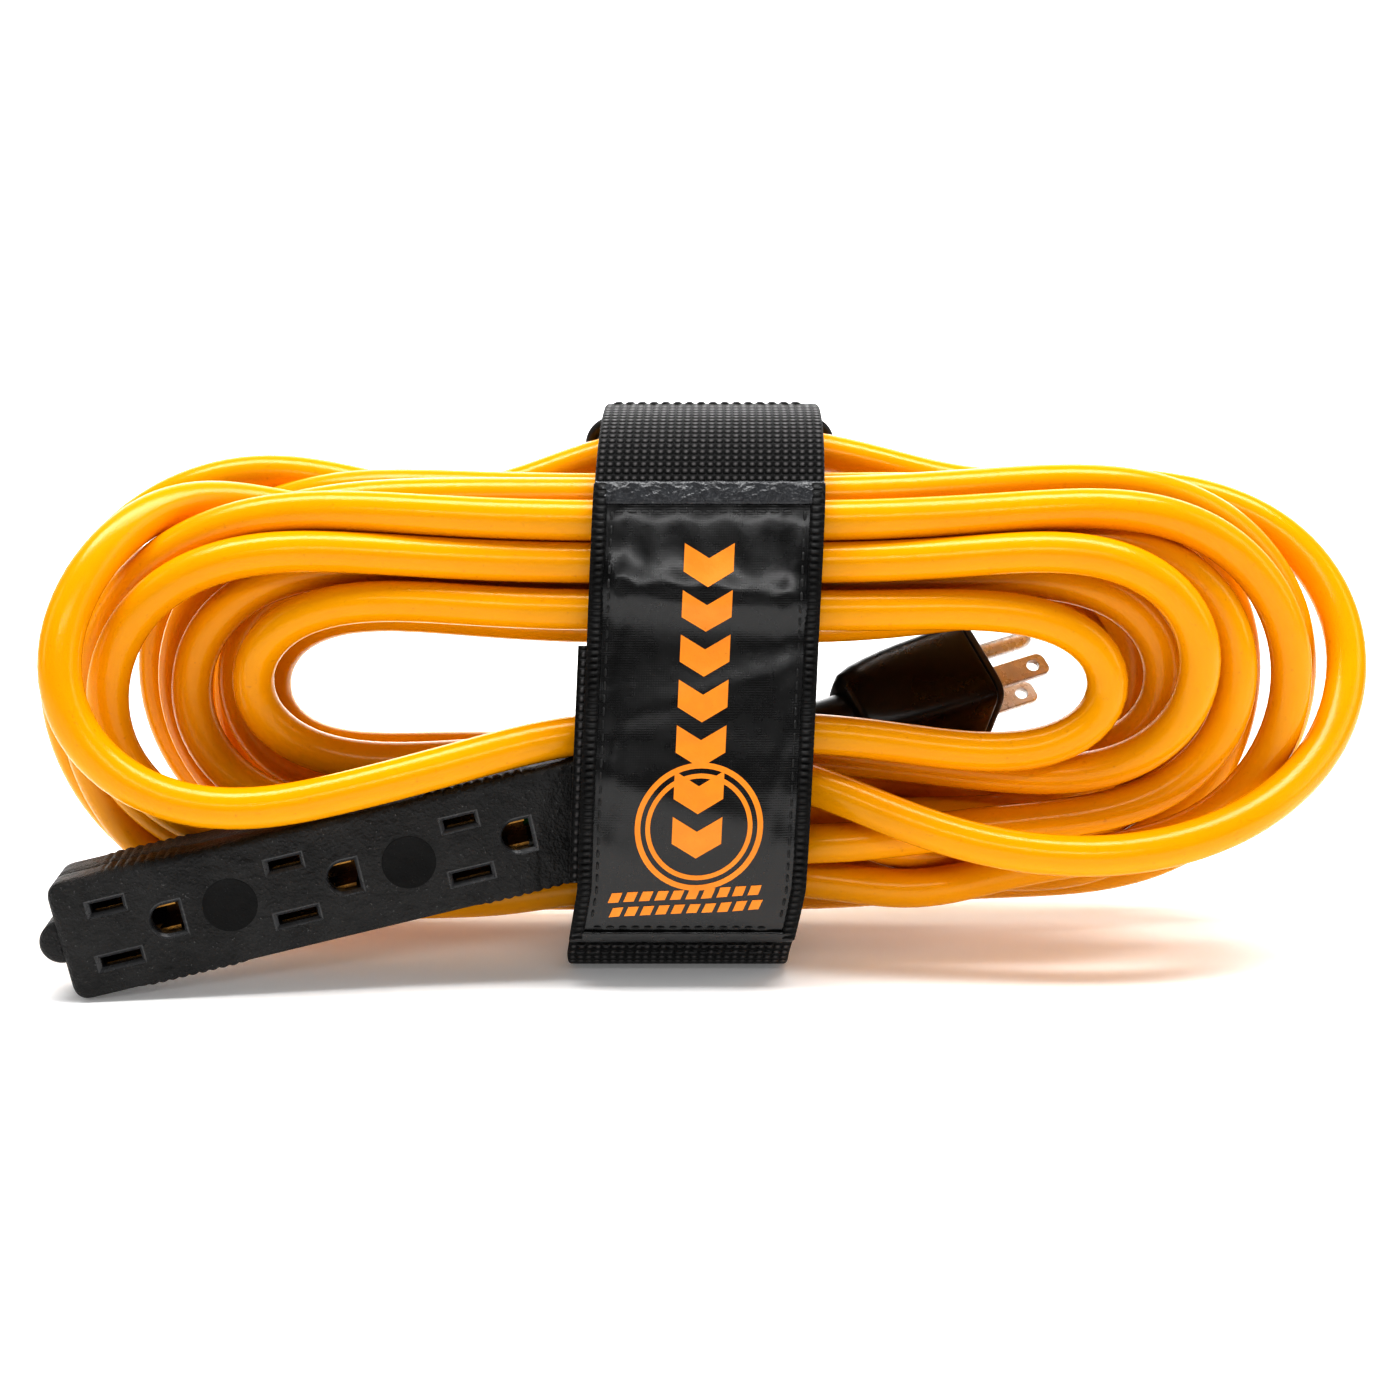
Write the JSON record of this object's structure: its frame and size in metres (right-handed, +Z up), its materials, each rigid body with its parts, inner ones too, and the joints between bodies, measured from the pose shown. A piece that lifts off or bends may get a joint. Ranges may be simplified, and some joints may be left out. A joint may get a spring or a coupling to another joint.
{
  "type": "extension cord",
  "caption": "Coiled outdoor extension cord with an in-line outlet block, a grounded plug and a hook-and-loop storage strap with a wire ring.",
  "frame": {"origin": "bottom centre of the coiled cord's box, on the surface that the coil stands on", "axes": "+X along the coil, from the outlet block's free end towards the plug's blades, +Y towards the back, away from the sockets, +Z up"},
  "size_m": [0.342, 0.0912, 0.1324],
  "materials": {
    "jacket": "satin yellow-orange vinyl",
    "housing": "fine-grained black vinyl moulding",
    "plug_vinyl": "smooth black vinyl moulding",
    "contact": "rolled brass sheet",
    "blade": "nickel-plated brass",
    "wire_hot": "black insulation",
    "wire_neutral": "white insulation",
    "wire_ground": "green insulation",
    "face_plate": "hard black plastic",
    "webbing": "woven black polypropylene",
    "label": "glossy coated label with a plain orange pattern",
    "binding": "ribbed black edge tape",
    "hook_and_loop": "black hook and loop pile",
    "ring": "black painted wire"
  },
  "bodies": {
    "cord_set": {"outlet_front_cover": "housing", "outlet_back_cover": "housing", "hot_contact_bar": "contact", "neutral_contact_bar": "contact", "ground_contact_bar": "contact", "outlet_hot_wire": "wire_hot", "outlet_neutral_wire": "wire_neutral", "outlet_ground_wire": "wire_ground", "outlet_strain_relief": "housing", "plug_body": "plug_vinyl", "plug_face_plate": "face_plate", "plug_hot_blade": "blade", "plug_neutral_blade": "blade", "plug_ground_pin": "blade", "plug_hot_wire": "wire_hot", "plug_neutral_wire": "wire_neutral", "plug_ground_wire": "wire_ground", "plug_strain_relief": "plug_vinyl", "cord_outlet_lead": "jacket", "cord_plug_lead": "jacket", "cord_coil": "jacket", "strap_webbing": "webbing", "strap_label": "label", "label_left_binding": "binding", "label_right_binding": "binding", "label_top_tape": "binding", "label_bottom_tape": "binding", "strap_loop_tape": "hook_and_loop"},
    "ring": {"strap_ring": "ring"},
    "tail": {"strap_tail": "webbing", "strap_hook_tape": "hook_and_loop"}
  },
  "joints": [
    {"name": "ring_swing", "type": "hinge", "parent": "cord_set", "child": "ring", "pos_m": [0, 0.031, 0.1275], "axis": [1, 0, 0], "range_deg": [0, 12]},
    {"name": "tail_peel", "type": "hinge", "parent": "ring", "child": "tail", "pos_m": [0, 0.0365, 0.114], "axis": [1, 0, 0], "range_deg": [0, 90]}
  ]
}
